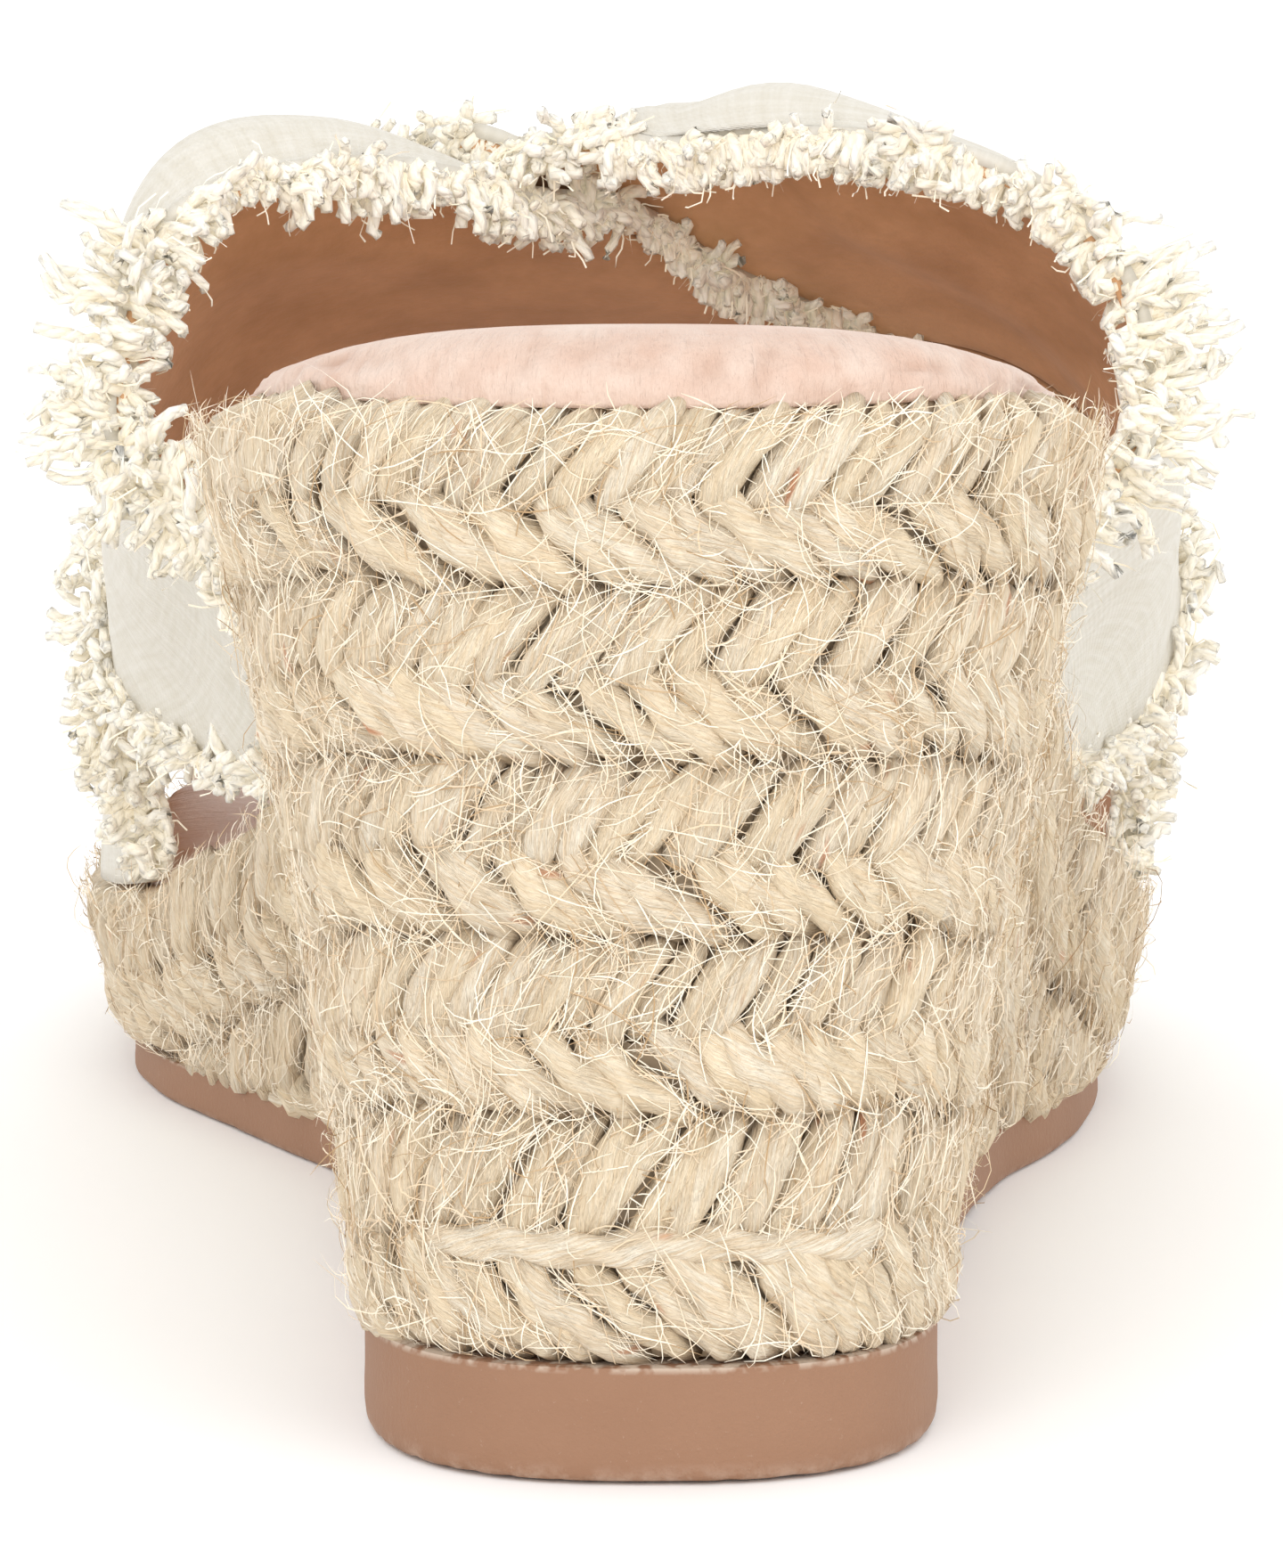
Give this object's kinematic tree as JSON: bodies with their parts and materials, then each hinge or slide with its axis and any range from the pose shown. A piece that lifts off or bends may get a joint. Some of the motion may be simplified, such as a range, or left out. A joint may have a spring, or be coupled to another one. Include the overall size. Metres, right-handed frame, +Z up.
{
  "type": "espadrille wedge sandal",
  "caption": "Right-foot slip-on wedge sandal: jute-braid wrapped wedge heel, padded insole and crossed canvas straps with frayed edges.",
  "frame": {"origin": "on the floor, under the middle of the shoe's bounding box", "axes": "+Z up, toe towards -Y, heel towards +Y, the foot's inner (medial) side towards +X"},
  "size_m": [0.1017, 0.2396, 0.0976],
  "materials": {
    "tan_rubber": "matte moulded tan rubber",
    "jute": "natural jute braid, fibrous and matte",
    "blush_leather": "soft blush leather with fine creases, satin",
    "cream_canvas": "off-white cotton canvas over a tan suede-like lining, matte",
    "cream_yarn": "loose twisted cream cotton yarn, matte"
  },
  "bodies": {
    "root": {"outsole": "tan_rubber", "wedge": "jute", "insole": "blush_leather", "upper": "cream_canvas", "fringe_under_back": "cream_yarn", "fringe_under_front": "cream_yarn", "fringe_over_back": "cream_yarn", "fringe_over_front": "cream_yarn"}
  },
  "joints": []
}
